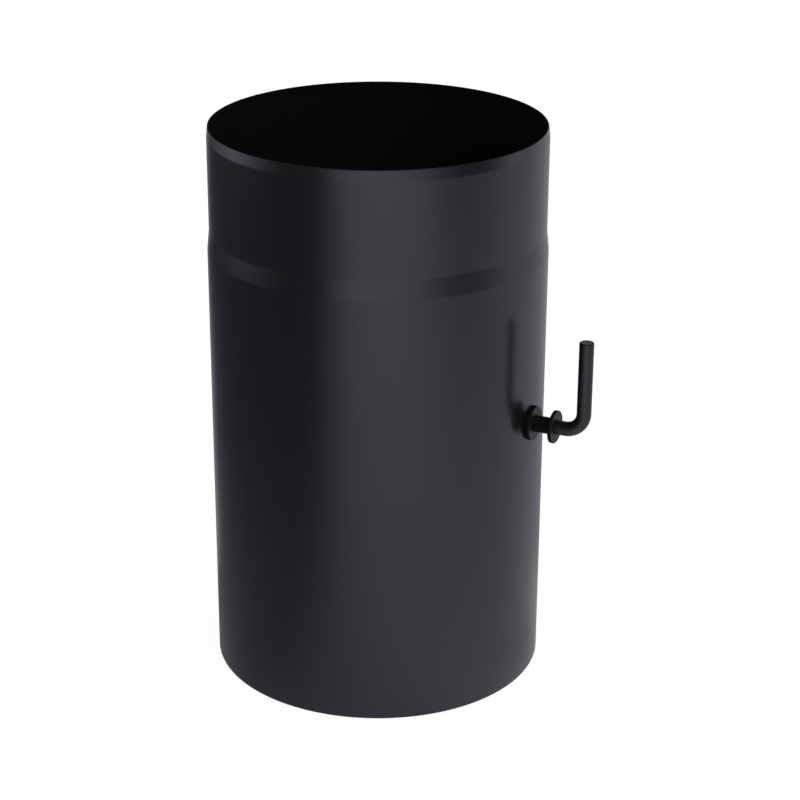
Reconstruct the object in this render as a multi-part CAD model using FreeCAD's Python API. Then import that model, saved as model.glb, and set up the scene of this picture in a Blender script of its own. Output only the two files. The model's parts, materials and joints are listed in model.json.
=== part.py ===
import FreeCAD, Part
import math
import os

# Stove pipe damper: a thin steel pipe with a spigot end, and a plate on a bent rod that turns inside it.
# Millimetres. The pipe stands on its plain end at z = 0, its axis is Z, and the rod lies along X with
# the handle on the +X side. The plate is open: it stands along the pipe, and so does the grip.

# Pipe
pipe_diameter = 150.0         # outside, below the shoulder
pipe_length = 251.0           # overall, spigot included
wall = 0.6                    # sheet thickness
spigot_length = 46.3          # from the top of the shoulder to the end
shoulder_height = 8.8         # the slope between the body and the spigot
end_taper_length = 4.8        # drawn-in stretch at the tip of the spigot
end_draw = 0.5                # how far the tip is drawn in, on the radius
joint_clearance = 0.3         # spigot in the next pipe, on the radius

# Rod and grip
rod_height = 124.6            # axis of the rod above the plain end
rod_diameter = 6.4
grip_reach = 24.1             # from the outside of the pipe to the middle of the grip
grip_height = 41.6            # from the axis of the rod to the top of the grip
bend_radius = 8.5             # on the centre line of the rod
grip_chamfer = 0.35           # at the cut top of the grip
rod_chamfer = 0.6             # at the far end
run_clearance = 0.08          # rod in its holes, on the radius
float_gap = 0.3               # end play at each side

# Washers and sleeve
wall_washer_diameter = 15.4   # against the pipe, on both sides of it
wall_washer_thickness = 1.8
outer_washer_diameter = 14.6
outer_washer_thickness = 1.7
sleeve_wall = 0.4
sleeve_length = 7.9
wall_seat = 0.05              # washer to the curved wall, at the line where they meet
collar_clearance = 0.02       # outer washer on the rod

# Split pin
pin_diameter = 1.8
pin_split = 0.1               # between the two legs
pin_eye_radius = 1.1          # inside of the eye
pin_neck_radius = 1.2         # where each leg turns out to the eye
pin_leg_radius = 1.8          # where each leg is bent away
pin_leg_bend = 75.0           # degrees
pin_leg_tails = (3.6, 2.6)    # straight ends past the bends
pin_clearance = 0.1           # pin in the rod, on the radius
pin_stand_off = 0.3           # neck and bends clear of the rod
rod_end_margin = 3.0          # metal between the pin and the end of the rod

# Plate
plate_gap = 2.4               # edge of the plate to the inside of the pipe
plate_thickness = 1.5
plate_flat = 10.0             # height of the segment cut away at the top and at the bottom
plate_corner = 6.0            # rounding of the flats' corners
plate_seat = 0.05             # rod to the face of the plate

# Straps, bolts and nuts
strap_spacing = 72.0          # middle to middle, along the rod
strap_width = 18.0
strap_thickness = 1.5
strap_bend = 1.0              # inside radius where the feet turn out
strap_clearance = 0.05        # rod in the strap
strap_corner = 3.0
bolt_diameter = 5.0
bolt_offset = 11.5            # from the axis of the rod
bolt_margin = 6.0             # from a bolt's middle to the end of the strap
bolt_hole_clearance = 0.25    # on the radius
bolt_past_nut = 1.6
hex_flats = 8.0
head_height = 3.5
nut_height = 4.0
thread_clearance = 0.05       # bolt in the nut, on the radius

# Sizes that follow from the ones above
pipe_radius = pipe_diameter / 2
bore_radius = pipe_radius - wall
spigot_radius = bore_radius - joint_clearance
shoulder_top = pipe_length - spigot_length
shoulder_bottom = shoulder_top - shoulder_height
rod_radius = rod_diameter / 2
rod_hole_radius = rod_radius + run_clearance
sleeve_radius = rod_hole_radius + sleeve_wall
grip_x = pipe_radius + grip_reach
wall_washer_x = pipe_radius + wall_seat
sleeve_x = wall_washer_x + wall_washer_thickness
outer_washer_x = sleeve_x + sleeve_length + float_gap
far_washer_x = -wall_washer_x - wall_washer_thickness
pin_radius = pin_diameter / 2
pin_x = far_washer_x - float_gap - pin_radius
rod_end_x = pin_x - pin_radius - rod_end_margin
plate_radius = bore_radius - plate_gap
plate_near = rod_radius + plate_seat
plate_far = plate_near + plate_thickness
bolt_radius = bolt_diameter / 2
bolt_hole_radius = bolt_radius + bolt_hole_clearance
bolt_seat = plate_near - strap_thickness
bolt_xs = (-strap_spacing / 2, strap_spacing / 2)
bolt_zs = (rod_height - bolt_offset, rod_height + bolt_offset)

origin = FreeCAD.Vector(0, 0, 0)
axis_x = FreeCAD.Vector(1, 0, 0)
axis_y = FreeCAD.Vector(0, 1, 0)
axis_z = FreeCAD.Vector(0, 0, 1)


def on_rod(x, y=0.0, z=0.0):
    """A point given from the axis of the rod."""
    return FreeCAD.Vector(x, y, rod_height + z)


def line(start, end):
    return Part.LineSegment(start, end).toShape()


def blended_wire(points, radius):
    """Straight runs through the points, with a tangent arc of the given radius at each inner point."""
    edges = []
    start = points[0]
    for before, corner, after in zip(points, points[1:], points[2:]):
        towards = (before - corner).normalize()
        away = (after - corner).normalize()
        half_turn = (math.pi - towards.getAngle(away)) / 2
        setback = radius * math.tan(half_turn)
        middle = (towards + away).normalize()
        arc_start = corner + towards * setback
        arc_end = corner + away * setback
        arc_top = corner + middle * (radius / math.cos(half_turn) - radius)
        edges.append(line(start, arc_start))
        edges.append(Part.Arc(arc_start, arc_top, arc_end).toShape())
        start = arc_end
    edges.append(line(start, points[-1]))
    return Part.Wire(edges)


def edges_at(shape, direction, distance):
    """The edges that lie in the plane at this distance along the direction."""
    found = []
    for edge in shape.Edges:
        heights = [vertex.Point.dot(direction) for vertex in edge.Vertexes]
        heights.append(edge.CenterOfMass.dot(direction))
        if all(abs(height - distance) < 1e-6 for height in heights):
            found.append(edge)
    return found


def edges_along(shape, direction):
    """The straight edges that run along the direction."""
    found = []
    for edge in shape.Edges:
        run = edge.lastVertex().Point - edge.firstVertex().Point
        if abs(run.Length - edge.Length) < 1e-6 and run.cross(direction).Length < 1e-6:
            found.append(edge)
    return found


def thickened(sheet_line, thickness):
    """The section of a sheet that lies on the left of its line."""
    return sheet_line.makeOffset2D(thickness, join=0, fill=True, openResult=True).Faces[0]


def pipe_line(inset):
    """The corners of the pipe's half section from the plain end to the tip, this far in from its outside."""
    corners = [
        (pipe_radius, 0),
        (pipe_radius, shoulder_bottom),
        (spigot_radius, shoulder_top),
        (spigot_radius, pipe_length - end_taper_length),
        (spigot_radius - end_draw, pipe_length),
    ]
    return [FreeCAD.Vector(radius - inset, 0, height) for radius, height in corners]


def make_pipe_body():
    """The half section of the sheet turned about the pipe's axis, with the rod's hole in each side."""
    outside = pipe_line(0)
    inside = pipe_line(wall)
    section = Part.makePolygon(outside + inside[::-1] + outside[:1])
    pipe = Part.Face(section).revolve(origin, axis_z, 360)
    holes = Part.makeCylinder(rod_hole_radius, 2 * pipe_diameter, on_rod(-pipe_diameter), axis_x)
    return pipe.cut(holes)


def bent_wire(section, place, heading, turn_axis, moves):
    """A wire of this section, from a place along a heading. Each move is (0, length) for a straight run,
    or (radius, degrees) for a bend: to the left about the turn axis, and to the right if the radius is
    negative."""
    face = Part.Face(section)
    runs = []
    for radius, amount in moves:
        if radius == 0:
            step = heading * amount
            runs.append(face.extrude(step))
            face.translate(step)
            place = place + step
        else:
            centre = place + turn_axis.cross(heading) * radius
            degrees = math.copysign(amount, radius)
            runs.append(face.revolve(centre, turn_axis, degrees))
            face.rotate(centre, turn_axis, degrees)
            turned = FreeCAD.Rotation(turn_axis, degrees)
            heading = turned.multVec(heading)
            place = centre + turned.multVec(place - centre)
    return runs[0].multiFuse(runs[1:]).removeSplitter()


def make_spindle_handle():
    """One rod bent up to the grip, with the cross hole for the split pin."""
    section = Part.Wire(Part.makeCircle(rod_radius, on_rod(rod_end_x), axis_x))
    rod = bent_wire(
        section, on_rod(rod_end_x), axis_x, -axis_y,
        [
            (0, grip_x - bend_radius - rod_end_x),
            (bend_radius, 90),
            (0, grip_height - bend_radius),
        ],
    )
    rod = rod.makeChamfer(rod_chamfer, edges_at(rod, axis_x, rod_end_x))
    rod = rod.makeChamfer(grip_chamfer, edges_at(rod, axis_z, rod_height + grip_height))
    hole = Part.makeCylinder(
        pin_radius + pin_clearance, 2 * rod_diameter, on_rod(pin_x, z=-rod_diameter), axis_z
    )
    return rod.cut(hole)


def make_washer(start_x, diameter, thickness, hole_radius):
    """A flat punched washer on the rod's axis."""
    disc = Part.makeCylinder(diameter / 2, thickness, on_rod(start_x), axis_x)
    hole = Part.makeCylinder(hole_radius, thickness, on_rod(start_x), axis_x)
    return disc.cut(hole)


def make_wall_washer(start_x):
    return make_washer(start_x, wall_washer_diameter, wall_washer_thickness, rod_hole_radius)


def make_outer_washer():
    hole_radius = rod_radius + collar_clearance
    return make_washer(outer_washer_x, outer_washer_diameter, outer_washer_thickness, hole_radius)


def make_spacer_sleeve():
    tube = Part.makeCylinder(sleeve_radius, sleeve_length, on_rod(sleeve_x), axis_x)
    hole = Part.makeCylinder(rod_hole_radius, sleeve_length, on_rod(sleeve_x), axis_x)
    return tube.cut(hole)


def make_split_pin():
    """Half-round wire folded to an eye above the rod, with its legs bent away below it."""
    leg_y = pin_split / 2
    leg_end = rod_radius + pin_stand_off
    neck_y = leg_y + pin_neck_radius
    neck_turn = math.degrees(math.acos(neck_y / (pin_neck_radius + pin_eye_radius)))
    bend = math.radians(pin_leg_bend)
    heading = FreeCAD.Vector(0, -math.sin(bend), math.cos(bend))
    right = heading.cross(axis_x)
    leg_start = on_rod(pin_x, leg_y, -leg_end)
    bend_centre = leg_start + axis_y * pin_leg_radius
    start = bend_centre - right * pin_leg_radius - heading * pin_leg_tails[0]

    # The flat of the wire faces the other leg and the inside of the eye.
    flat_start = start - axis_x * pin_radius
    flat_end = start + axis_x * pin_radius
    half_round = Part.Arc(flat_start, start + right * pin_radius, flat_end).toShape()
    section = Part.Wire([half_round, line(flat_end, flat_start)])
    return bent_wire(
        section, start, heading, axis_x,
        [
            (0, pin_leg_tails[0]),
            (-pin_leg_radius, pin_leg_bend),
            (0, 2 * leg_end),
            (-pin_neck_radius, neck_turn),
            (pin_eye_radius, 180 + 2 * neck_turn),
            (-pin_neck_radius, neck_turn),
            (0, 2 * leg_end),
            (-pin_leg_radius, pin_leg_bend),
            (0, pin_leg_tails[1]),
        ],
    )


def bolt_holes(start_y, end_y):
    """The clearance holes of all four bolts, between two distances from the axis of the rod."""
    holes = []
    for x in bolt_xs:
        for z in bolt_zs:
            start = FreeCAD.Vector(x, start_y, z)
            holes.append(Part.makeCylinder(bolt_hole_radius, end_y - start_y, start, axis_y))
    return holes


def make_damper_plate():
    """A disc beside the rod, with a flat at the top and at the bottom and the four bolt holes."""
    disc = Part.makeCylinder(plate_radius, plate_thickness, on_rod(0, plate_near), axis_y)
    half_height = plate_radius - plate_flat
    band = Part.makeBox(
        2 * plate_radius, plate_thickness, 2 * half_height,
        on_rod(-plate_radius, plate_near, -half_height),
    )
    plate = disc.common(band)
    corners = []
    for edge in edges_along(plate, axis_y):
        if abs(abs(edge.CenterOfMass.z - rod_height) - half_height) < 1e-6:
            corners.append(edge)
    plate = plate.makeFillet(plate_corner, corners)
    return plate.cut(bolt_holes(plate_near, plate_far))


def make_saddle_strap(middle_x):
    """A strip bent over the rod, with its two feet flat on the plate."""
    arch = rod_radius + strap_clearance
    foot_end = bolt_offset + bolt_margin
    foot_bend = min(strap_bend + strap_thickness, 0.9 * plate_near)

    def at(y, z):
        return on_rod(middle_x - strap_width / 2, y, z)

    lower_leg = blended_wire([at(0, -arch), at(plate_near, -arch), at(plate_near, -foot_end)], foot_bend)
    upper_leg = blended_wire([at(plate_near, foot_end), at(plate_near, arch), at(0, arch)], foot_bend)
    over_rod = Part.Arc(at(0, arch), at(-arch, 0), at(0, -arch)).toShape()
    strip_line = Part.Wire(upper_leg.Edges + [over_rod] + lower_leg.Edges)
    strap = thickened(strip_line, strap_thickness).extrude(axis_x * strap_width)
    ends = []
    for edge in edges_along(strap, axis_y):
        if abs(abs(edge.CenterOfMass.z - rod_height) - foot_end) < 1e-6:
            ends.append(edge)
    strap = strap.makeFillet(strap_corner, ends)
    return strap.cut(bolt_holes(bolt_seat, plate_near))


def make_hexagon(seat, outward, height):
    """A hexagon that stands on its seat."""
    corner_radius = hex_flats / math.sqrt(3)
    corners = []
    for step in range(7):
        angle = math.radians(60 * step)
        corners.append(seat + (axis_x * math.cos(angle) + axis_z * math.sin(angle)) * corner_radius)
    return Part.Face(Part.makePolygon(corners)).extrude(outward * height)


def make_saddle_bolt(x, z):
    """A hexagon bolt with its head on the strap and its end past the nut."""
    seat = FreeCAD.Vector(x, bolt_seat, z)
    head = make_hexagon(seat, -axis_y, head_height)
    length = plate_far - bolt_seat + nut_height + bolt_past_nut
    return head.fuse(Part.makeCylinder(bolt_radius, length, seat, axis_y))


def make_saddle_nut(x, z):
    """A nut on the far face of the plate."""
    seat = FreeCAD.Vector(x, plate_far, z)
    nut = make_hexagon(seat, axis_y, nut_height)
    return nut.cut(Part.makeCylinder(bolt_radius + thread_clearance, nut_height, seat, axis_y))


def at_each_bolt(make):
    return Part.makeCompound([make(x, z) for x in bolt_xs for z in bolt_zs])


parts = {
    "pipe_body": make_pipe_body(),
    "wall_washer": make_wall_washer(wall_washer_x),
    "spacer_sleeve": make_spacer_sleeve(),
    "far_washer": make_wall_washer(far_washer_x),
    "spindle_handle": make_spindle_handle(),
    "outer_washer": make_outer_washer(),
    "split_pin": make_split_pin(),
    "damper_plate": make_damper_plate(),
    "saddle_strap_handle_side": make_saddle_strap(bolt_xs[1]),
    "saddle_strap_far_side": make_saddle_strap(bolt_xs[0]),
    "saddle_bolts": at_each_bolt(make_saddle_bolt),
    "saddle_nuts": at_each_bolt(make_saddle_nut),
}

os.makedirs("parts", exist_ok=True)
for name, shape in parts.items():
    shape.exportStep(f"parts/{name}.step")
    print(name, len(shape.Solids), "solids", round(shape.Volume, 2), "mm3", "valid", shape.isValid())
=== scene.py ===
import bmesh
import bpy
import json
import math
from mathutils import Matrix, Vector


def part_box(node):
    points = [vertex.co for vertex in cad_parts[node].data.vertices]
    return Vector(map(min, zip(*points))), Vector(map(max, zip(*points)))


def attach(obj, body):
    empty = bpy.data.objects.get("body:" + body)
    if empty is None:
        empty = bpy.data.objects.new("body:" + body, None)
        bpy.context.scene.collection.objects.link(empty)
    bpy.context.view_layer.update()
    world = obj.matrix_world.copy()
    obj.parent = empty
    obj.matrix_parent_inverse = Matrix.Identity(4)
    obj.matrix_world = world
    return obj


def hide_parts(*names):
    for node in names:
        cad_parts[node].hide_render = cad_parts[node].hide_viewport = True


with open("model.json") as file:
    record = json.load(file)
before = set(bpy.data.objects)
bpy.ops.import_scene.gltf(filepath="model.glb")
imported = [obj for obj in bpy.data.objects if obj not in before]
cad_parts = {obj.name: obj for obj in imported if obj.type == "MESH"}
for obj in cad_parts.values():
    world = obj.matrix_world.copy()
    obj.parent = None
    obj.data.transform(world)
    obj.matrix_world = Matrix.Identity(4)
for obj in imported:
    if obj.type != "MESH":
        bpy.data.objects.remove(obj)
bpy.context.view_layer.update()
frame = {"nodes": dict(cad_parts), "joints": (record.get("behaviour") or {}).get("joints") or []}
rodHeight = frame["joints"][0]["pos_m"][2]
print("frame loaded,", len(frame["nodes"]), "nodes, rod at", rodHeight)

# the rod's line: local Z of this frame runs along +X towards the grip
alongRod = Matrix.Translation((0, 0, rodHeight)) @ Matrix.Rotation(math.radians(90), 4, "Y")
sharpAngle = math.radians(35)        # edges that turn more than this keep a hard line


# small tools for the meshes

def smooth(low, high, value):
    share = min(max((value - low) / (high - low), 0), 1)
    return share * share * (3 - 2 * share)


def easedLine(corners, eases, steps=6):
    # each inner corner becomes an arc that starts one ease before it and ends one ease after it
    line = [Vector(corners[0])]
    for before, corner, after, ease in zip(corners, corners[1:], corners[2:], eases):
        corner = Vector(corner)
        towards = (Vector(before) - corner).normalized()
        away = (Vector(after) - corner).normalized()
        half = towards.angle(away) / 2
        centre = corner + (towards + away).normalized() * ease / math.cos(half)
        start = corner + towards * ease - centre
        turn = start.angle_signed(corner + away * ease - centre)
        for step in range(steps + 1):
            line.append(centre + Matrix.Rotation(-turn * step / steps, 2) @ start)
    line.append(Vector(corners[-1]))
    return line


def easedLoop(corners, eases, steps=6):
    wrapped = [corners[-1], *corners, corners[0]]
    return easedLine(wrapped, eases, steps)[1:-1]


def ringAt(bm, place, radius, along, segments):
    ring = []
    for i in range(segments):
        angle = 2 * math.pi * i / segments
        point = Vector((radius * math.cos(angle), radius * math.sin(angle), along))
        ring.append(bm.verts.new(place @ point))
    return ring


def bridge(bm, ringA, ringB, matIndex=0, skip=()):
    count = len(ringA)
    for i in range(count):
        if i in skip:
            continue
        j = (i + 1) % count
        face = bm.faces.new((ringA[i], ringA[j], ringB[j], ringB[i]))
        face.material_index = matIndex


def turned(bm, loop, place, segments):
    # a closed section of (radius, along) points, turned about the local Z of place
    rings = [ringAt(bm, place, point.x, point.y, segments) for point in loop]
    for ringA, ringB in zip(rings, rings[1:] + rings[:1]):
        bridge(bm, ringA, ringB)


def makePiece(name, bm, mats, body, nodes):
    bmesh.ops.recalc_face_normals(bm, faces=bm.faces)
    mesh = bpy.data.meshes.new(name)
    bm.to_mesh(mesh)
    bm.free()
    for mat in mats:
        mesh.materials.append(mat)
    mesh.shade_smooth()
    mesh.set_sharp_from_angle(angle=sharpAngle)
    piece = bpy.data.objects.new(name, mesh)
    bpy.context.scene.collection.objects.link(piece)
    even = piece.modifiers.new("even shading", "WEIGHTED_NORMAL")
    even.keep_sharp = True
    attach(piece, body)
    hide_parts(*nodes)


# finishes

noiseSpan = (0.3, 0.7)       # where most values of a noise lie
wholeSpan = (0, 1)


def newFinish(name):
    mat = bpy.data.materials.new(name)
    mat.use_nodes = True
    nodes = mat.node_tree.nodes
    return mat, nodes, mat.node_tree.links, nodes["Principled BSDF"]


def noiseAt(nodes, links, coords, scale, detail=3.0, rough=0.55):
    noise = nodes.new("ShaderNodeTexNoise")
    noise.inputs["Scale"].default_value = scale
    noise.inputs["Detail"].default_value = detail
    noise.inputs["Roughness"].default_value = rough
    links.new(coords, noise.inputs["Vector"])
    return noise.outputs["Fac"]


def rampBetween(nodes, links, fac, low, high, span=noiseSpan):
    ramp = nodes.new("ShaderNodeValToRGB")
    for stop, place, colour in zip(ramp.color_ramp.elements, span, (low, high)):
        stop.position = place
        stop.color = (*colour, 1)
    links.new(fac, ramp.inputs["Fac"])
    return ramp.outputs["Color"]


def rangeBetween(nodes, links, fac, low, high, span=noiseSpan):
    mapped = nodes.new("ShaderNodeMapRange")
    mapped.inputs["From Min"].default_value, mapped.inputs["From Max"].default_value = span
    mapped.inputs["To Min"].default_value = low
    mapped.inputs["To Max"].default_value = high
    links.new(fac, mapped.inputs["Value"])
    return mapped.outputs["Result"]


def bumpFrom(nodes, links, height, strength, distance):
    bump = nodes.new("ShaderNodeBump")
    bump.inputs["Strength"].default_value = strength
    bump.inputs["Distance"].default_value = distance
    links.new(height, bump.inputs["Height"])
    return bump.outputs["Normal"]


def stovePaint(name, look):
    # heat-proof paint: faint cloudiness, a fine sprayed grain, gloss that varies a little
    mat, nodes, links, shader = newFinish(name)
    coords = nodes.new("ShaderNodeTexCoord").outputs["Object"]
    clouds = noiseAt(nodes, links, coords, look["cloudScale"])
    grain = noiseAt(nodes, links, coords, look["grainScale"], look["grainDetail"])
    links.new(rampBetween(nodes, links, clouds, look["dark"], look["light"]), shader.inputs["Base Color"])
    links.new(rangeBetween(nodes, links, clouds, *look["rough"]), shader.inputs["Roughness"])
    links.new(bumpFrom(nodes, links, grain, look["grain"], look["grainDepth"]), shader.inputs["Normal"])
    shader.inputs["Specular IOR Level"].default_value = look["gloss"]
    shader.inputs["Specular Tint"].default_value = (*look["tint"], 1)
    return mat


pipePaintLook = {
    "dark": (0.0039, 0.0041, 0.0054),
    "light": (0.0047, 0.0049, 0.0063),
    "rough": (0.22, 0.25),
    "cloudScale": 9.0,
    "grainScale": 900.0,
    "grainDetail": 2.0,
    "grain": 0.10,
    "grainDepth": 0.0001,
    "gloss": 0.57,
    "tint": (0.898, 0.868, 0.917),
}
insideLook = dict(
    pipePaintLook,
    dark=(0.0028, 0.0028, 0.0030),
    light=(0.0036, 0.0036, 0.0038),
    rough=(0.75, 0.85),
    gloss=0.05,
)
rodLook = dict(
    pipePaintLook,
    dark=(0.0024, 0.0024, 0.0028),
    light=(0.0030, 0.0030, 0.0034),
    rough=(0.36, 0.42),
    grain=0.2,
)
washerLook = dict(rodLook, rough=(0.42, 0.48), gloss=0.40)
sleeveLook = dict(rodLook, rough=(0.66, 0.76), gloss=0.12)

pipePaint = stovePaint("pipe satin black", pipePaintLook)
insidePaint = stovePaint("pipe inside matt black", insideLook)
rodPaint = stovePaint("rod black", rodLook)
washerPaint = stovePaint("washer black", washerLook)
sleeveBlack = stovePaint("sleeve matt black", sleeveLook)


def darkSheet(name, look):
    # hot-rolled sheet: mottled scale with fine rolling lines along X
    mat, nodes, links, shader = newFinish(name)
    coords = nodes.new("ShaderNodeTexCoord").outputs["Object"]
    stretch = nodes.new("ShaderNodeMapping")
    stretch.inputs["Scale"].default_value = look["lineStretch"]
    links.new(coords, stretch.inputs["Vector"])
    mottle = noiseAt(nodes, links, coords, look["mottleScale"], look["mottleDetail"], look["mottleRough"])
    lines = noiseAt(nodes, links, stretch.outputs["Vector"], look["lineScale"], look["lineDetail"])
    links.new(rampBetween(nodes, links, mottle, look["dark"], look["light"]), shader.inputs["Base Color"])
    links.new(rangeBetween(nodes, links, mottle, *look["rough"]), shader.inputs["Roughness"])
    links.new(bumpFrom(nodes, links, lines, look["lines"], look["lineDepth"]), shader.inputs["Normal"])
    shader.inputs["Metallic"].default_value = look["metal"]
    return mat


sheetLook = {
    "dark": (0.042, 0.043, 0.048),
    "light": (0.105, 0.103, 0.104),
    "rough": (0.40, 0.58),
    "mottleScale": 85.0,
    "mottleDetail": 6.0,
    "mottleRough": 0.65,
    "lineScale": 120.0,
    "lineDetail": 4.0,
    "lineStretch": (1, 12, 12),
    "lines": 0.2,
    "lineDepth": 0.0001,
    "metal": 0.35,
}
zincLook = dict(
    sheetLook,
    dark=(0.22, 0.22, 0.23),
    light=(0.36, 0.36, 0.36),
    rough=(0.34, 0.48),
    mottleScale=350.0,
    lineScale=400.0,
    lines=0.05,
    metal=0.8,
)
plateSteel = darkSheet("plate hot-rolled steel", sheetLook)
dullZinc = darkSheet("fastener dull zinc", zincLook)
print("finishes ready:", len(bpy.data.materials))


# pipe: one turned sheet with the swaged spigot and a hole for the rod in each side

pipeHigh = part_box("pipe_body")[1]
pipe = {
    "radius": round(pipeHigh.y, 4),
    "length": round(pipeHigh.z, 4),
    "wall": 0.0006,
    "spigotRadius": 0.0741,
    "shoulderBottom": 0.1959,
    "shoulderTop": 0.2047,
    "taper": 0.0048,
    "draw": 0.0005,
    "bendEase": 0.0006,
    "tipEase": 0.0005,
    "rimEase": 0.00029,
    "holeRadius": 0.00328,
    "segments": 288,
    "patch": 4,          # half width of the patch round each hole, in grid steps
    "patchRings": 4,
}


def sheetSide(inset):
    corners = [
        (pipe["radius"], 0),
        (pipe["radius"], pipe["shoulderBottom"]),
        (pipe["spigotRadius"], pipe["shoulderTop"]),
        (pipe["spigotRadius"], pipe["length"] - pipe["taper"]),
        (pipe["spigotRadius"] - pipe["draw"], pipe["length"]),
    ]
    return [(radius - inset, height) for radius, height in corners]


def holePatch(bm, rows, columns, side, wallRadius, matIndex):
    # rings from the patch's square edge in to the round hole, all on the wall
    edge = set()
    for row in rows:
        edge.update((row[columns[0]], row[columns[-1]]))
    for column in columns:
        edge.update((rows[0][column], rows[-1][column]))
    around = sorted(edge, key=lambda v: math.atan2(v.co.z - rodHeight, v.co.y))
    ring = around
    for step in range(1, pipe["patchRings"] + 1):
        share = step / pipe["patchRings"]
        inner = []
        for vert in around:
            angle = math.atan2(vert.co.z - rodHeight, vert.co.y)
            y = vert.co.y * (1 - share) + pipe["holeRadius"] * math.cos(angle) * share
            z = (vert.co.z - rodHeight) * (1 - share) + pipe["holeRadius"] * math.sin(angle) * share
            x = side * math.sqrt(wallRadius ** 2 - y ** 2)
            inner.append(bm.verts.new((x, y, rodHeight + z)))
        bridge(bm, ring, inner, matIndex)
        ring = inner
    return ring


def buildPipe():
    bm = bmesh.new()
    segments, patch = pipe["segments"], pipe["patch"]
    pitch = 2 * math.pi * pipe["radius"] / segments
    patchHeights = [rodHeight + step * pitch for step in range(-patch, patch + 1)]

    outside, inside = sheetSide(0), sheetSide(pipe["wall"])
    bends = [pipe["bendEase"], pipe["bendEase"], pipe["tipEase"]]
    rims = [pipe["rimEase"], pipe["rimEase"]]
    loop = easedLoop(outside + inside[::-1], [rims[0], *bends, *rims, *bends[::-1], rims[1]])
    # rows for the patches go in after the lower rim, on the way up outside and on the way down inside
    firstOut = next(i for i, p in enumerate(loop) if p.y > rodHeight)
    lastIn = max(i for i, p in enumerate(loop) if p.y > rodHeight) + 1
    rowsOut = [Vector((pipe["radius"], height)) for height in patchHeights]
    rowsIn = [Vector((pipe["radius"] - pipe["wall"], height)) for height in reversed(patchHeights)]
    loop = loop[:firstOut] + rowsOut + loop[firstOut:lastIn] + rowsIn + loop[lastIn:]

    rings = [ringAt(bm, Matrix.Identity(4), p.x, p.y, segments) for p in loop]
    outRows = range(firstOut, firstOut + len(rowsOut))
    startIn = lastIn + len(rowsOut)
    inRows = range(startIn, startIn + len(rowsIn))
    topOut = max(range(len(loop)), key=lambda i: (round(loop[i].y, 7), -i))
    cut = set()
    for middle in (0, segments // 2):
        cut.update((middle + step) % segments for step in range(-patch, patch))
    for i in range(len(rings)):
        holed = i in outRows[:-1] or i in inRows[:-1]
        finish = 1 if i > topOut else 0
        bridge(bm, rings[i], rings[(i + 1) % len(rings)], finish, cut if holed else ())
    for side, middle in ((1, 0), (-1, segments // 2)):
        columns = [(middle + step) % segments for step in range(-patch, patch + 1)]
        outer = holePatch(bm, [rings[i] for i in outRows], columns, side, pipe["radius"], 0)
        inner = holePatch(bm, [rings[i] for i in inRows], columns, side, pipe["radius"] - pipe["wall"], 1)
        bridge(bm, outer, inner)
    makePiece("pipe_sheet", bm, [pipePaint, insidePaint], "pipe", ["pipe_body"])


buildPipe()
print("pipe built")


# washers and sleeve on the rod, with the rod's own sizes, which their holes follow

washer = {
    "dieRoll": 0.00035,      # rounded edge where the punch went in
    "burrEdge": 0.00012,
    "segments": 128,
    "runClearance": 0.00008,
    "collarClearance": 0.00002,
}
rodLow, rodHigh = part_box("spindle_handle")
rod = {
    "radius": round((rodHigh.y - rodLow.y) / 2, 5),
    "bendRadius": 0.0085,
    "bendSteps": 40,
    "segments": 72,
    "topChamfer": 0.00035,
    "endChamfer": 0.0006,
    "edgeEase": 0.0001,
    "edgeSteps": 4,
}


def ringPiece(name, node, body, clearance, eases, faceFinish):
    # the flat side that shows takes the face's finish, the rest is matt
    low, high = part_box(node)
    outer = round((high.z - low.z) / 2, 5)
    hole = rod["radius"] + clearance
    corners = [(hole, low.x), (outer, low.x), (outer, high.x), (hole, high.x)]
    shown = high.x if high.x > 0 else low.x
    bm = bmesh.new()
    turned(bm, easedLoop(corners, eases), alongRod, washer["segments"])
    for face in bm.faces:
        flat = all(abs(vert.co.x - shown) < washer["dieRoll"] / 2 for vert in face.verts)
        face.material_index = 0 if flat else 1
    makePiece(name, bm, [faceFinish, sleeveBlack], body, [node])


roll, burr = washer["dieRoll"], washer["burrEdge"]
outward, inward = [burr, burr, roll, roll], [roll, roll, burr, burr]
running, fixed = washer["runClearance"], washer["collarClearance"]
ringPiece("washer_at_wall", "wall_washer", "pipe", running, outward, washerPaint)
ringPiece("washer_at_far_wall", "far_washer", "pipe", running, inward, washerPaint)
ringPiece("washer_at_bend", "outer_washer", "damper", fixed, outward, washerPaint)
ringPiece("sleeve", "spacer_sleeve", "pipe", running, [burr] * 4, sleeveBlack)
print("washers and sleeve built")


# rod: straight through the pipe, bent up to the grip

def chamferedEnd(chamfer):
    # (radius, depth) points from the cut end to the rod's full size
    radius, ease = rod["radius"], rod["edgeEase"]
    corners = [(0, 0), (radius - chamfer, 0), (radius, chamfer), (radius, 3 * chamfer)]
    return easedLine(corners, [ease, ease], rod["edgeSteps"])[1:]


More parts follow.
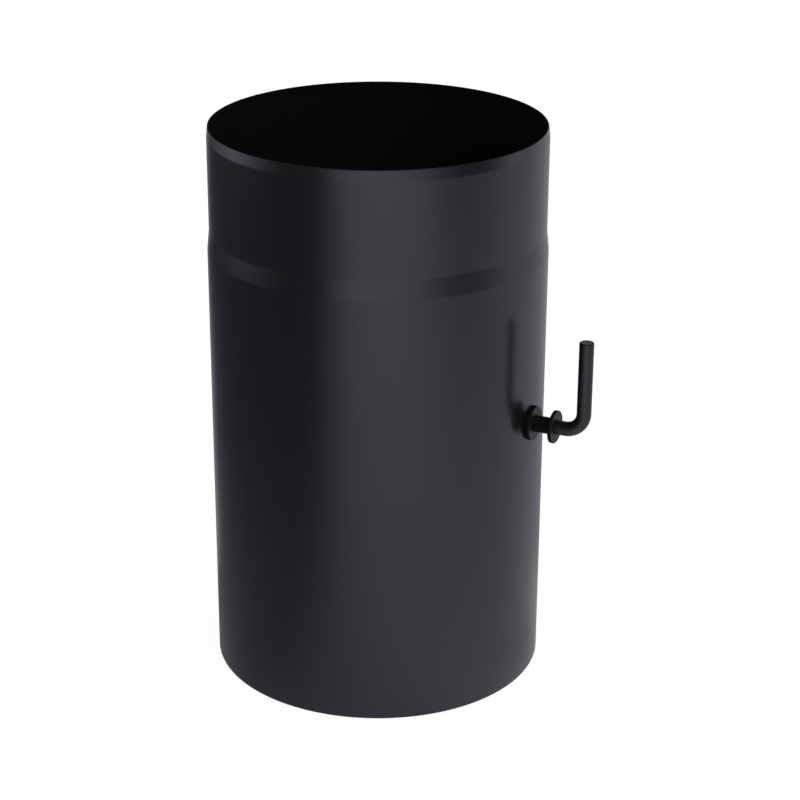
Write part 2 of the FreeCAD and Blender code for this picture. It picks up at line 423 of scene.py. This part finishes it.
def buildRod():
    radius, bend = rod["radius"], rod["bendRadius"]
    gripX = rodHigh.x - radius
    farX, topZ = rodLow.x, rodHigh.z
    bm = bmesh.new()
    rings = []

    def addRing(place, heading, size):
        side = Vector((0, 1, 0))
        up = heading.cross(side)
        ring = []
        for i in range(rod["segments"]):
            angle = 2 * math.pi * i / rod["segments"]
            ring.append(bm.verts.new(place + (side * math.cos(angle) + up * math.sin(angle)) * size))
        rings.append(ring)

    ahead, upward = Vector((1, 0, 0)), Vector((0, 0, 1))
    for point in chamferedEnd(rod["endChamfer"]):
        addRing(Vector((farX + point.y, 0, rodHeight)), ahead, point.x)
    for step in range(rod["bendSteps"] + 1):
        angle = math.pi / 2 * step / rod["bendSteps"]
        centre = Vector((gripX - bend, 0, rodHeight + bend))
        place = centre + Vector((math.sin(angle), 0, -math.cos(angle))) * bend
        addRing(place, Vector((math.cos(angle), 0, math.sin(angle))), radius)
    for point in reversed(chamferedEnd(rod["topChamfer"])):
        addRing(Vector((gripX, 0, topZ - point.y)), upward, point.x)
    for ringA, ringB in zip(rings, rings[1:]):
        bridge(bm, ringA, ringB)
    bm.faces.new(rings[0])
    bm.faces.new(rings[-1])
    makePiece("rod_with_grip", bm, [rodPaint], "damper", ["spindle_handle"])


buildRod()
print("rod built")


# bolts and nuts of the straps: chamfered hexagons and a rolled thread

boltLow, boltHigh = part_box("saddle_bolts")
nutLow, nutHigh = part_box("saddle_nuts")
fastener = {
    "flats": 0.008,
    "cornerBreak": 0.0001,
    "faceRadius": 0.0037,    # flat circle that the chamfer leaves
    "chamferSlope": 0.5,
    "headHeight": 0.0035,
    "shank": 0.0025,
    "pitch": 0.0008,
    "threadDepth": 0.00045,
    "threadSteep": 1.25,     # over 1, the crests and the roots are flat
    "threadStart": 0.003,
    "threadSteps": 8,        # rings for each turn
    "nutHole": 0.00255,
    "countersink": 0.0003,
    "segments": 48,
}


def hexRadius(angle):
    corner = fastener["flats"] / math.sqrt(3)
    flat = fastener["flats"] / 2 / math.cos(angle % (math.pi / 3) - math.pi / 6)
    return min(flat, corner - fastener["cornerBreak"])


def shapedRing(bm, place, shape):
    # shape gives (radius, along) for each angle
    ring = []
    for i in range(fastener["segments"]):
        angle = 2 * math.pi * i / fastener["segments"]
        radius, along = shape(angle)
        point = Vector((radius * math.cos(angle), radius * math.sin(angle), along))
        ring.append(bm.verts.new(place @ point))
    return ring


def chamferDrop(angle):
    return (hexRadius(angle) - fastener["faceRadius"]) * fastener["chamferSlope"]


def threadRing(angle, along, tip):
    shank, depth, steep = fastener["shank"], fastener["threadDepth"], fastener["threadSteep"]
    turn = (along / fastener["pitch"] - angle / (2 * math.pi)) % 1
    crest = min(max(abs(2 * turn - 1) * steep - (steep - 1) / 2, 0), 1)
    fade = smooth(fastener["threadStart"], fastener["threadStart"] + fastener["pitch"], along)
    radius = shank - depth * (1 - crest) * fade
    return min(radius, shank - depth + (tip - along)), along


def addBolt(bm, place, tip):
    face, head = fastener["faceRadius"], fastener["headHeight"]
    shapes = [
        lambda angle: (face, -head),
        lambda angle: (hexRadius(angle), -head + chamferDrop(angle)),
        lambda angle: (hexRadius(angle), 0),
        lambda angle: (fastener["shank"], 0),
    ]
    rings = [shapedRing(bm, place, shape) for shape in shapes]
    steps = round((tip - fastener["threadStart"]) / fastener["pitch"] * fastener["threadSteps"])
    for step in range(steps + 1):
        along = fastener["threadStart"] + (tip - fastener["threadStart"]) * step / steps
        rings.append(shapedRing(bm, place, lambda angle: threadRing(angle, along, tip)))
    for ringA, ringB in zip(rings, rings[1:]):
        bridge(bm, ringA, ringB)
    bm.faces.new(rings[0])
    bm.faces.new(rings[-1])


def addNut(bm, place, height):
    face, hole, sink = fastener["faceRadius"], fastener["nutHole"], fastener["countersink"]
    shapes = [
        lambda angle: (hole + sink, 0),
        lambda angle: (face, 0),
        lambda angle: (hexRadius(angle), chamferDrop(angle)),
        lambda angle: (hexRadius(angle), height - chamferDrop(angle)),
        lambda angle: (face, height),
        lambda angle: (hole + sink, height),
        lambda angle: (hole, height - sink),
        lambda angle: (hole, sink),
    ]
    rings = [shapedRing(bm, place, shape) for shape in shapes]
    for ringA, ringB in zip(rings, rings[1:] + rings[:1]):
        bridge(bm, ringA, ringB)


def buildFasteners():
    corner = fastener["flats"] / math.sqrt(3)
    reachX = nutHigh.x - corner
    reachZ = (nutHigh.z - nutLow.z) / 2 - fastener["flats"] / 2
    seat = boltLow.y + fastener["headHeight"]
    acrossPlate = Matrix.Rotation(math.radians(-90), 4, "X")     # local Z runs along +Y
    bolts, nuts = bmesh.new(), bmesh.new()
    for x in (-reachX, reachX):
        for z in (rodHeight - reachZ, rodHeight + reachZ):
            addBolt(bolts, Matrix.Translation((x, seat, z)) @ acrossPlate, boltHigh.y - seat)
            addNut(nuts, Matrix.Translation((x, nutLow.y, z)) @ acrossPlate, nutHigh.y - nutLow.y)
    makePiece("strap_bolts", bolts, [dullZinc], "damper", ["saddle_bolts"])
    makePiece("strap_nuts", nuts, [dullZinc], "damper", ["saddle_nuts"])


buildFasteners()
print("bolts and nuts built")


# plate and straps: the CAD shape with its cut edges softened

cutSheet = {
    "ease": 0.0002,
    "easeSteps": 2,
    "mergeWithin": 1e-6,
    "flatWithin": math.radians(0.5),
}


def softenedCopy(name, node):
    source = frame["nodes"][node]
    bm = bmesh.new()
    bm.from_mesh(source.data)
    bm.transform(source.matrix_world)
    bmesh.ops.remove_doubles(bm, verts=bm.verts, dist=cutSheet["mergeWithin"])
    bmesh.ops.dissolve_limit(bm, angle_limit=cutSheet["flatWithin"], verts=bm.verts, edges=bm.edges)
    cut = [edge for edge in bm.edges if edge.is_manifold and edge.calc_face_angle() > sharpAngle]
    bmesh.ops.bevel(bm, geom=cut, offset=cutSheet["ease"], segments=cutSheet["easeSteps"], profile=0.5,
                    affect="EDGES", clamp_overlap=True)
    makePiece(name, bm, [plateSteel], "damper", [node])


softenedCopy("plate", "damper_plate")
softenedCopy("strap_at_grip_side", "saddle_strap_handle_side")
softenedCopy("strap_at_far_side", "saddle_strap_far_side")

# the split pin keeps its CAD shape
pin = frame["nodes"]["split_pin"]
pin.data.materials.clear()
pin.data.materials.append(dullZinc)
print("plate, straps and split pin finished")


# stage: white floor and surroundings, soft lamps

stage = {
    "floorSize": 6.0,
    "floorSteps": 4,
    "floorDrop": 0.0001,
    "paper": 0.9,
    "shadowShare": 0.12,     # how much of the floor's shading the camera sees
    "white": 1.04,           # the floor's glow in the camera and in mirrored rays
    "ambient": 0.55,         # the surroundings' light on matt surfaces
    "lampSize": 1.2,
    "lampAim": (0, 0, 0.12),
}
lamps = [
    {"name": "soft key lamp", "place": (1.07, -0.45, 1.40), "power": 14},
    {"name": "soft back lamp", "place": (-0.8, 0.7, 1.50), "power": 9},
]


def mirroredRays(nodes, links):
    # 1 for rays from the camera and for mirrored or refracted ones
    path = nodes.new("ShaderNodeLightPath")
    total = path.outputs["Is Camera Ray"]
    for name in ("Is Glossy Ray", "Is Transmission Ray"):
        both = nodes.new("ShaderNodeMath")
        both.operation = "MAXIMUM"
        links.new(total, both.inputs[0])
        links.new(path.outputs[name], both.inputs[1])
        total = both.outputs["Value"]
    return total


def buildFloor():
    bm = bmesh.new()
    steps = stage["floorSteps"]
    bmesh.ops.create_grid(bm, x_segments=steps, y_segments=steps, size=stage["floorSize"] / 2)
    mesh = bpy.data.meshes.new("floor")
    bm.to_mesh(mesh)
    bm.free()
    floor = bpy.data.objects.new("floor", mesh)
    floor.location.z = -stage["floorDrop"]
    bpy.context.scene.collection.objects.link(floor)
    mat = bpy.data.materials.new("white floor")
    mat.use_nodes = True
    nodes, links = mat.node_tree.nodes, mat.node_tree.links
    nodes.clear()
    paper = nodes.new("ShaderNodeBsdfDiffuse")
    paper.inputs["Color"].default_value = (stage["paper"], stage["paper"], stage["paper"], 1)
    glow = nodes.new("ShaderNodeEmission")
    glow.inputs["Strength"].default_value = stage["white"]
    mix = nodes.new("ShaderNodeMixShader")
    seen = mirroredRays(nodes, links)
    links.new(rangeBetween(nodes, links, seen, 0, 1 - stage["shadowShare"], wholeSpan), mix.inputs["Fac"])
    links.new(paper.outputs["BSDF"], mix.inputs[1])
    links.new(glow.outputs["Emission"], mix.inputs[2])
    out = nodes.new("ShaderNodeOutputMaterial")
    links.new(mix.outputs["Shader"], out.inputs["Surface"])
    mesh.materials.append(mat)


def buildWorld():
    world = bpy.data.worlds.new("studio")
    world.use_nodes = True
    bpy.context.scene.world = world
    nodes, links = world.node_tree.nodes, world.node_tree.links
    ground = nodes["Background"]
    ground.inputs["Color"].default_value = (1, 1, 1, 1)
    seen = mirroredRays(nodes, links)
    strength = rangeBetween(nodes, links, seen, stage["ambient"], 1, wholeSpan)
    links.new(strength, ground.inputs["Strength"])


def addLamp(lamp):
    light = bpy.data.lights.new(lamp["name"], "AREA")
    light.shape = "DISK"
    light.size = stage["lampSize"]
    light.energy = lamp["power"]
    holder = bpy.data.objects.new(lamp["name"], light)
    holder.location = lamp["place"]
    aim = Vector(stage["lampAim"]) - Vector(lamp["place"])
    holder.rotation_euler = aim.to_track_quat("-Z", "Y").to_euler()
    bpy.context.scene.collection.objects.link(holder)


buildFloor()
buildWorld()
for lamp in lamps:
    addLamp(lamp)
print("floor, surroundings and lamps ready")


# camera at the photo's angle

cameraSetup = {
    "place": (0.38528, -0.79835, 0.48719),
    "heading": (-0.43646, 0.89972),
    "pitchDown": 22.489,
    "lens": 95.045,
    "sensor": 36,
    "shift": (0.0326, 0.0041),
}


def buildCamera():
    camera = bpy.data.cameras.new("camera")
    camera.lens = cameraSetup["lens"]
    camera.sensor_width = cameraSetup["sensor"]
    camera.shift_x, camera.shift_y = cameraSetup["shift"]
    holder = bpy.data.objects.new("camera", camera)
    holder.location = cameraSetup["place"]
    pitch = math.radians(cameraSetup["pitchDown"])
    east, north = cameraSetup["heading"]
    look = Vector((east * math.cos(pitch), north * math.cos(pitch), -math.sin(pitch)))
    holder.rotation_euler = look.to_track_quat("-Z", "Y").to_euler()
    bpy.context.scene.collection.objects.link(holder)
    bpy.context.scene.camera = holder


buildCamera()
print("camera ready")


# painted reflections that the paint mirrors: a glowing graded sheet on the floor round the pipe with
# painted light and dark levels, three glowing sheets that paint dark reflections at the sides and behind,
# and a dim glowing disc overhead that paints a dark reflection above.
# Only reflections see them, so the floor and the background stay white.
# Bearings are in degrees about the pipe, 0 towards the camera and positive to the camera's right

# painted reflection round the pipe: glowing levels and colours that only the paint's reflections see
paintedFloorReflection = {
    "near": 0.0749,                              # under the wall, so that no white ring is left
    "far": 4.0,
    "rings": 36,
    "spokes": 120,
    "lift": 0.0003,
    "front": ((0.10, 0.85), (0.64, 1.06), (1.4, 1.30)),      # (distance, level) towards the camera
    "leftEdge": (0.0723, 0.020, 26),             # ahead, left, degrees: where the dark side starts
    "leftSoft": (0.055, 0.24),                   # softness of that edge at the pipe and for each metre
    "leftEnd": (1.10, 1.50),                     # distances over which the dark side ends
    # (distance, level) of the dark side
    "leftDark": ((0.10, 0.225), (0.40, 0.122), (0.62, 0.09), (1.05, 0.05)),
    "leftShade": (60, 115, 0.2),                 # from and to these bearings it darkens by this share
    # (distance, bearing) where the dark side starts to fade out behind the pipe, and where it ends
    "leftBackFrom": ((0.12, 116), (0.30, 130), (0.60, 144)),
    "leftBackTo": ((0.12, 140), (0.30, 174), (0.60, 180)),
    "right": (25, 100, 0.59),                    # between these bearings the front's level turns to this
    "rightBack": (94, 138),                      # and between these to the back's level
    "back": ((0.10, 0.36), (0.45, 0.48)),        # (distance, level) behind the pipe
    "colour": (1.01, 1.0, 1.09),
    "darkColour": (1.01, 1.125, 1.35),
    "cool": ((0.10, 0.62), (0.30, 1.0)),         # (distance, share) of that colour on the dark side
    "coolBack": (70, 120, 0.6),                  # from and to these bearings it loses this share
    # painted darker patches in the reflection
    "dips": [                                    # darker patches that grow between these distances
        {"bearing": 53, "half": 40, "from": 0.10, "to": 0.90, "depth": 0.5},
        {"bearing": 85, "half": 45, "from": 0.13, "to": 0.08, "depth": 0.25},
    ],
}
# a dim glowing disc overhead that only reflections see: a painted dark reflection above
paintedOverheadReflection = {"height": 1.0, "radius": 3.0, "segments": 48, "level": 0.06}
paintedDarkReflectionShape = {"height": 1.0, "steps": 48}
# glowing sheets that only reflections see: painted dark reflections at the sides and behind the pipe
paintedDarkReflections = [
    {
        "name": "painted dark reflection left",
        "bearings": (-109, -19),
        "soft": (50, 20),            # degrees over which each end fades out
        "reach": 1.2,
        "level": 0.10,
    },
    {
        "name": "painted dark reflection right",
        "bearings": (12, 102),
        "soft": (45, 32),
        "reach": 1.3,
        "level": 0.04,
    },
    {
        "name": "painted dark reflection back left",
        "bearings": (-202, -96),
        "soft": (20, 52),
        "reach": 1.25,
        "level": 0.02,
    },
]


def between(steps, value):
    # level along a few (place, level) pairs
    level = steps[0][1]
    for (start, low), (stop, high) in zip(steps, steps[1:]):
        level += (high - low) * smooth(start, stop, value)
    return level


def paintedReflectionLevel(ahead, left):
    # level of the painted reflection at a place, and the share of the painted dark side's colour there
    reach = math.hypot(ahead, left)
    bearing = math.degrees(math.atan2(-left, ahead))
    level = between(paintedFloorReflection["front"], reach)
    backFrom = between(paintedFloorReflection["leftBackFrom"], reach)
    backTo = between(paintedFloorReflection["leftBackTo"], reach)
    behind = smooth(backFrom, backTo, -bearing)
    if bearing > 0:
        behind = smooth(*paintedFloorReflection["rightBack"], bearing)
        start, stop, side = paintedFloorReflection["right"]
        level += (side - level) * smooth(start, stop, bearing)
    level += (between(paintedFloorReflection["back"], reach) - level) * behind
    for dip in paintedFloorReflection["dips"]:
        across = 1 - smooth(0, dip["half"], abs(bearing - dip["bearing"]))
        level *= 1 - dip["depth"] * across * smooth(dip["from"], dip["to"], reach)
    startAhead, startLeft, slant = paintedFloorReflection["leftEdge"]
    slant = math.radians(slant)
    past = (left - startLeft) * math.cos(slant) - (ahead - startAhead) * math.sin(slant)
    soft = paintedFloorReflection["leftSoft"][0] + paintedFloorReflection["leftSoft"][1] * reach
    dark = smooth(-soft, soft, past) * (1 - smooth(*paintedFloorReflection["leftEnd"], reach))
    if bearing > 90:
        dark = 0
    elif bearing < 0:
        dark *= 1 - behind
    start, stop, share = paintedFloorReflection["leftShade"]
    shade = between(paintedFloorReflection["leftDark"], reach) * (1 - share * smooth(start, stop, -bearing))
    start, stop, share = paintedFloorReflection["coolBack"]
    cool = between(paintedFloorReflection["cool"], reach) * (1 - share * smooth(start, stop, -bearing))
    return level * (1 - dark) + shade * dark, cool * dark


# a glowing sheet that only mirrored rays see, for the painted reflections
def mirrorOnly(name, bm, mat):
    mesh = bpy.data.meshes.new(name)
    bm.to_mesh(mesh)
    bm.free()
    mesh.materials.append(mat)
    card = bpy.data.objects.new(name, mesh)
    bpy.context.scene.collection.objects.link(card)
    card.visible_camera = False
    card.visible_diffuse = False
    card.visible_shadow = False
    card.visible_transmission = False


def pointValue(nodes, name):
    value = nodes.new("ShaderNodeAttribute")
    value.attribute_name = name
    return value.outputs["Fac"]


def glowCard(name, level=None):
    # glow for a painted reflection: an even card of this level, or one with its level and colour at each
    # point
    mat = bpy.data.materials.new(name)
    mat.use_nodes = True
    nodes, links = mat.node_tree.nodes, mat.node_tree.links
    nodes.clear()
    glow = nodes.new("ShaderNodeEmission")
    if level is None:
        colours = paintedFloorReflection["colour"], paintedFloorReflection["darkColour"]
        cool = pointValue(nodes, "cool")
        links.new(rampBetween(nodes, links, cool, *colours, wholeSpan), glow.inputs["Color"])
        links.new(pointValue(nodes, "level"), glow.inputs["Strength"])
    else:
        glow.inputs["Color"].default_value = (*paintedFloorReflection["colour"], 1)
        glow.inputs["Strength"].default_value = level
    out = nodes.new("ShaderNodeOutputMaterial")
    links.new(glow.outputs["Emission"], out.inputs["Surface"])
    return mat


# the painted floor reflection: a glowing ring of sheet with its level and colour painted at each point
def buildPaintedFloorReflection():
    ahead = Vector((*cameraSetup["place"][:2], 0)).normalized()
    left = Vector((ahead.y, -ahead.x, 0))
    bm = bmesh.new()
    level = bm.verts.layers.float.new("level")
    cool = bm.verts.layers.float.new("cool")
    rings = []
    growth = (paintedFloorReflection["far"] / paintedFloorReflection["near"]) ** (1 / paintedFloorReflection["rings"])
    for row in range(paintedFloorReflection["rings"] + 1):
        reach = paintedFloorReflection["near"] * growth ** row
        ring = ringAt(bm, Matrix.Translation((0, 0, paintedFloorReflection["lift"])), reach, 0, paintedFloorReflection["spokes"])
        for vert in ring:
            vert[level], vert[cool] = paintedReflectionLevel(vert.co.dot(ahead), vert.co.dot(left))
        rings.append(ring)
    for ringA, ringB in zip(rings, rings[1:]):
        bridge(bm, ringA, ringB)
    mirrorOnly("painted floor reflection", bm, glowCard("painted floor reflection glow"))


# the painted dark reflection above the pipe
def buildPaintedOverheadReflection():
    bm = bmesh.new()
    bmesh.ops.create_circle(bm, cap_ends=True, segments=paintedOverheadReflection["segments"], radius=paintedOverheadReflection["radius"])
    bmesh.ops.translate(bm, verts=bm.verts, vec=(0, 0, paintedOverheadReflection["height"]))
    mirrorOnly("painted dark reflection overhead", bm, glowCard("painted dark reflection overhead", paintedOverheadReflection["level"]))


def buildPaintedDarkReflection(paintedDarkReflection):
    # a curved glowing sheet that stands on the floor, seen only in reflections: a painted dark reflection
    # that fades out at both ends
    reach, steps = paintedDarkReflection["reach"], paintedDarkReflectionShape["steps"]
    first, last = paintedDarkReflection["bearings"]
    softFirst, softLast = paintedDarkReflection["soft"]
    facing = math.atan2(cameraSetup["place"][1], cameraSetup["place"][0])
    bm = bmesh.new()
    level = bm.verts.layers.float.new("level")
    rows = []
    for height in (0, paintedDarkReflectionShape["height"]):
        row = []
        for step in range(steps + 1):
            bearing = first + (last - first) * step / steps
            angle = facing + math.radians(bearing)
            vert = bm.verts.new((reach * math.cos(angle), reach * math.sin(angle), height))
            dark = min(smooth(0, softFirst, bearing - first), smooth(0, softLast, last - bearing))
            vert[level] = 1 - dark * (1 - paintedDarkReflection["level"])
            row.append(vert)
        rows.append(row)
    for i in range(steps):
        bm.faces.new((rows[0][i], rows[0][i + 1], rows[1][i + 1], rows[1][i]))
    mirrorOnly(paintedDarkReflection["name"], bm, glowCard(paintedDarkReflection["name"]))


buildPaintedFloorReflection()
buildPaintedOverheadReflection()
for paintedDarkReflection in paintedDarkReflections:
    buildPaintedDarkReflection(paintedDarkReflection)
print("cards ready:", 2 + len(paintedDarkReflections))

bpy.context.scene.view_settings.view_transform = "Standard"
